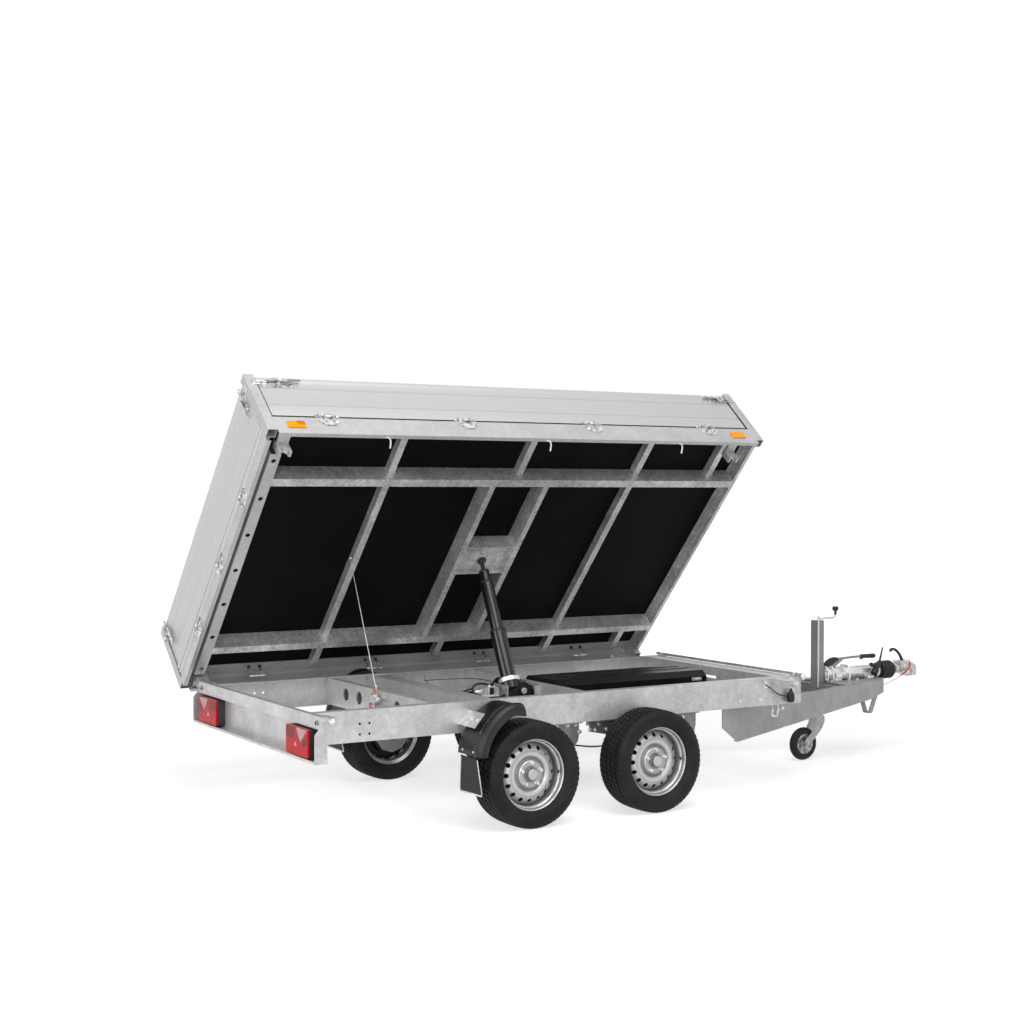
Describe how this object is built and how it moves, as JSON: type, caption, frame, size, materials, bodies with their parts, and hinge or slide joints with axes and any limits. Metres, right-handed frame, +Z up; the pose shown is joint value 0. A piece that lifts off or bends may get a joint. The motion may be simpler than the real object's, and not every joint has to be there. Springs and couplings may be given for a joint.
{
  "type": "dump trailer",
  "caption": "Tandem-axle braked dump trailer with aluminium drop sides, its bed tipped to the side by a telescopic cylinder, parked on its jockey wheel.",
  "frame": {"origin": "centre of the footprint on the floor, under the middle of the overall box", "axes": "+X towards the coupling, +Y towards the side the bed tips to, +Z up"},
  "size_m": [4.5612, 2.1074, 2.2069],
  "materials": {
    "galvanised": "hot-dip galvanised, faint spangle",
    "aluminium": "brushed, anodised",
    "wheel_silver": "silver lacquer",
    "tyre_rubber": "matt rubber with road tread",
    "black_rubber": "satin rubber",
    "black_plastic": "moulded, fine grain",
    "black_paint": "semi-gloss black paint",
    "floor_black": "satin black sheet",
    "lamp_red": "clear red lens",
    "zinc": "bright zinc plate",
    "lift_steel": "dark gloss"
  },
  "bodies": {
    "chassis": {"side_beam_near": "galvanised", "side_beam_far": "galvanised", "rear_beam": "galvanised", "front_beam": "galvanised", "cross_plate": "galvanised", "cross_channel_rear": "galvanised", "cross_channel_front": "galvanised", "cylinder_cradle": "black_paint", "pump_box": "black_plastic", "axle_rear": "galvanised", "axle_front": "galvanised", "drawbar_near": "galvanised", "drawbar_far": "galvanised", "drawbar_nose": "galvanised", "overrun_housing": "zinc", "bellows": "black_rubber", "coupling_head": "zinc", "coupling_handle": "black_plastic", "handbrake_lever": "black_plastic", "jockey_post": "galvanised", "jockey_crank": "zinc", "tail_lamp_near": "lamp_red", "tail_lamp_far": "lamp_red", "mudguard_near": "black_plastic", "mudguard_far": "black_plastic"},
    "wheel_near_rear": {"tyre_near_rear": "tyre_rubber", "rim_near_rear": "wheel_silver"},
    "wheel_near_front": {"tyre_near_front": "tyre_rubber", "rim_near_front": "wheel_silver"},
    "wheel_far_rear": {"tyre_far_rear": "tyre_rubber", "rim_far_rear": "wheel_silver"},
    "wheel_far_front": {"tyre_far_front": "tyre_rubber", "rim_far_front": "wheel_silver"},
    "jockey_leg": {"jockey_leg": "zinc"},
    "jockey_fork": {"jockey_fork": "zinc"},
    "jockey_wheel": {"jockey_wheel": "black_rubber"},
    "lift_barrel": {"lift_barrel": "black_paint"},
    "lift_stage_1": {"lift_stage_1": "lift_steel"},
    "lift_stage_2": {"lift_stage_2": "lift_steel"},
    "lift_stage_3": {"lift_stage_3": "lift_steel"},
    "bed": {"bed_floor": "floor_black", "bed_rim_near": "galvanised", "bed_rim_far": "galvanised", "bed_rim_rear": "galvanised", "bed_rim_front": "galvanised", "post_rear_near": "galvanised", "post_rear_far": "galvanised", "headboard": "aluminium", "long_beam_near": "galvanised", "long_beam_far": "galvanised", "cross_member_rear": "galvanised", "cross_member_front": "galvanised", "crosshead": "galvanised"},
    "near_board": {"near_board": "aluminium"},
    "far_board": {"far_board": "aluminium"},
    "tailgate": {"tailgate": "aluminium"}
  },
  "joints": [
    {"name": "wheel_spin_near_rear", "type": "hinge", "parent": "chassis", "child": "wheel_near_rear", "pos_m": [-1.11035, -0.94317, 0.2625], "axis": [0, 1, 0], "continuous": true},
    {"name": "wheel_spin_near_front", "type": "hinge", "parent": "chassis", "child": "wheel_near_front", "pos_m": [-0.36035, -0.94317, 0.2625], "axis": [0, 1, 0], "continuous": true},
    {"name": "wheel_spin_far_rear", "type": "hinge", "parent": "chassis", "child": "wheel_far_rear", "pos_m": [-1.11035, 0.57183, 0.2625], "axis": [0, 1, 0], "continuous": true},
    {"name": "wheel_spin_far_front", "type": "hinge", "parent": "chassis", "child": "wheel_far_front", "pos_m": [-0.36035, 0.57183, 0.2625], "axis": [0, 1, 0], "continuous": true},
    {"name": "bed_tip", "type": "hinge", "parent": "chassis", "child": "bed", "pos_m": [-0.74085, 0.63093, 0.595], "axis": [-1, 0, 0], "range_deg": [-48.4, 0]},
    {"name": "barrel_swing", "type": "hinge", "parent": "chassis", "child": "lift_barrel", "pos_m": [-0.73535, -0.18567, 0.57], "axis": [-1, 0, 0], "range_deg": [-25.35, 0]},
    {"name": "lift_stage_1_slide", "type": "slide", "parent": "lift_barrel", "child": "lift_stage_1", "axis": [0, 0.4274, 0.9041], "range_m": [-0.279, 0]},
    {"name": "lift_stage_2_slide", "type": "slide", "parent": "lift_stage_1", "child": "lift_stage_2", "axis": [0, 0.4274, 0.9041], "range_m": [-0.293, 0]},
    {"name": "lift_stage_3_slide", "type": "slide", "parent": "lift_stage_2", "child": "lift_stage_3", "axis": [0, 0.4274, 0.9041], "range_m": [-0.0932, 0]},
    {"name": "near_board_hinge", "type": "hinge", "parent": "bed", "child": "near_board", "pos_m": [-0.74085, -0.40601, 1.99865], "axis": [-1, 0, 0], "range_deg": [-180, 0]},
    {"name": "far_board_hinge", "type": "hinge", "parent": "bed", "child": "far_board", "pos_m": [-0.74085, 0.8176, 0.62046], "axis": [1, 0, 0], "range_deg": [-131, 0]},
    {"name": "tailgate_hinge", "type": "hinge", "parent": "bed", "child": "tailgate", "pos_m": [-2.27215, 0.15868, 1.26773], "axis": [0, 0.6639, -0.7478], "range_deg": [-180, 0]},
    {"name": "jockey_leg_slide", "type": "slide", "parent": "chassis", "child": "jockey_leg", "axis": [0, 0, 1], "range_m": [0, 0.12]},
    {"name": "jockey_swivel", "type": "hinge", "parent": "jockey_leg", "child": "jockey_fork", "pos_m": [1.45965, -0.18567, 0.266], "axis": [0, 0, 1], "continuous": true},
    {"name": "jockey_spin", "type": "hinge", "parent": "jockey_fork", "child": "jockey_wheel", "pos_m": [1.34765, -0.18567, 0.1], "axis": [0, 1, 0], "continuous": true}
  ],
  "couplings": [
    {"joint": "barrel_swing", "follows": "bed_tip", "ratio": 0.52273},
    {"joint": "lift_stage_1_slide", "follows": "bed_tip", "m_per_rad": 0.3291},
    {"joint": "lift_stage_2_slide", "follows": "bed_tip", "m_per_rad": 0.34567},
    {"joint": "lift_stage_3_slide", "follows": "bed_tip", "m_per_rad": 0.10909}
  ]
}
